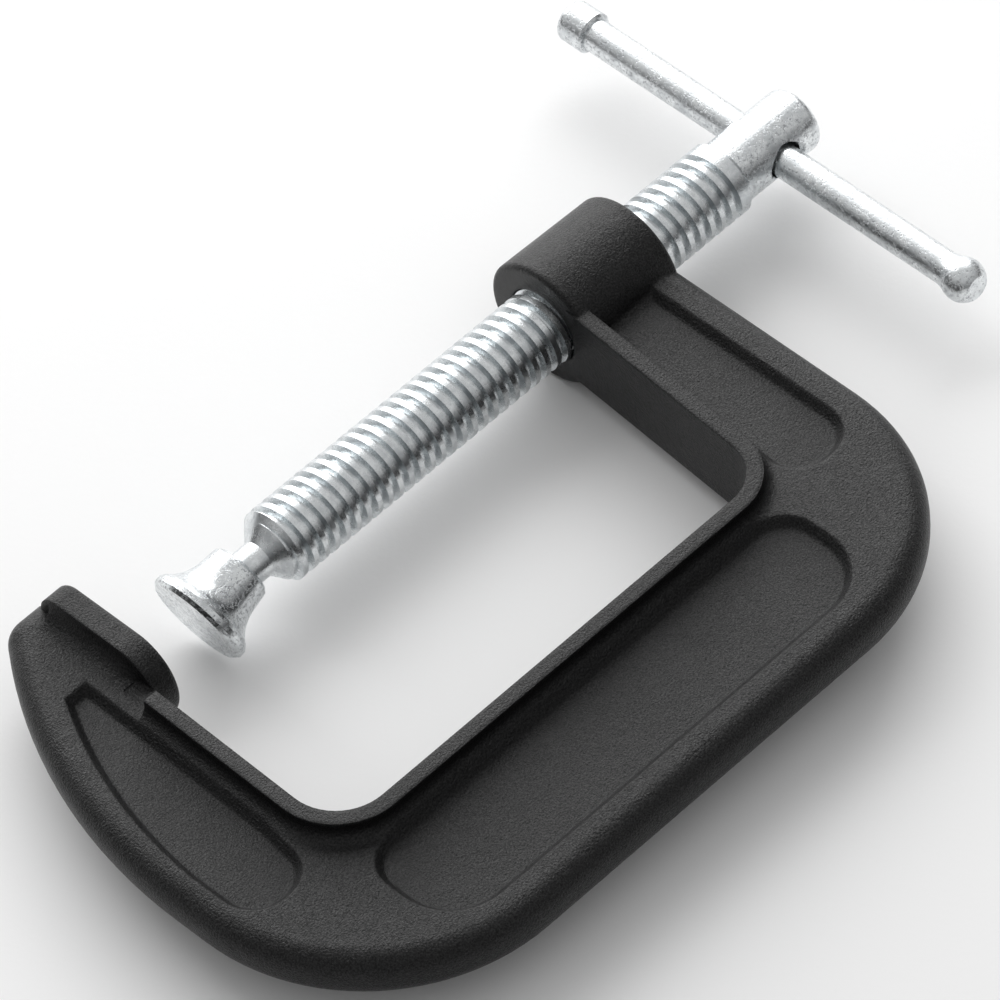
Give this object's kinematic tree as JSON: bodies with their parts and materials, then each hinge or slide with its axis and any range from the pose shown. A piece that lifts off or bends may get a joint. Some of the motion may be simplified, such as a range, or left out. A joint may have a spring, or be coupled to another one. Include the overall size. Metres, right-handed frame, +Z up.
{
  "type": "c clamp",
  "caption": "Hand-tightened C clamp: a cast C-shaped frame, a threaded spindle with a sliding tommy bar, and a bell-shaped swivel pad facing a fixed anvil.",
  "frame": {"origin": "the point where the spindle axis meets the anvil face", "axes": "+X along the spindle from the anvil towards the tommy bar, +Z up out of the flat of the casting, spine of the C on the -Y side"},
  "size_m": [0.1908, 0.1333, 0.0242],
  "materials": {
    "frame_paint": "satin black paint over a cast surface",
    "plated_steel": "bright zinc plate on rolled thread",
    "spring_steel": "bright spring wire",
    "plated_pad": "bright zinc plate with fine turning marks and small pits",
    "plated_bar": "bright zinc plate, lightly marked"
  },
  "bodies": {
    "casting": {"frame": "frame_paint"},
    "ring": {"retaining_ring": "spring_steel"},
    "screw": {"spindle": "plated_steel"},
    "pad": {"swivel_pad": "plated_pad"},
    "bar": {"tommy_bar": "plated_bar", "bar_end_cap": "plated_bar"}
  },
  "joints": [
    {"name": "screw_travel", "type": "slide", "parent": "casting", "child": "ring", "axis": [1, 0, 0], "range_m": [-0.01045, 0.0681]},
    {"name": "screw_turn", "type": "hinge", "parent": "ring", "child": "screw", "pos_m": [0.022, 0, 0], "axis": [1, 0, 0], "range_deg": [-1500, 9800]},
    {"name": "pad_tilt", "type": "hinge", "parent": "ring", "child": "pad", "pos_m": [0.022, 0, 0], "axis": [0, 1, 0], "range_deg": [0, 31.2]},
    {"name": "bar_slide", "type": "slide", "parent": "screw", "child": "bar", "axis": [0, 1, 0], "range_m": [-0.0333, 0.0353]}
  ],
  "couplings": [
    {"joint": "screw_travel", "follows": "screw_turn", "m_per_rad": 0.00039789}
  ]
}
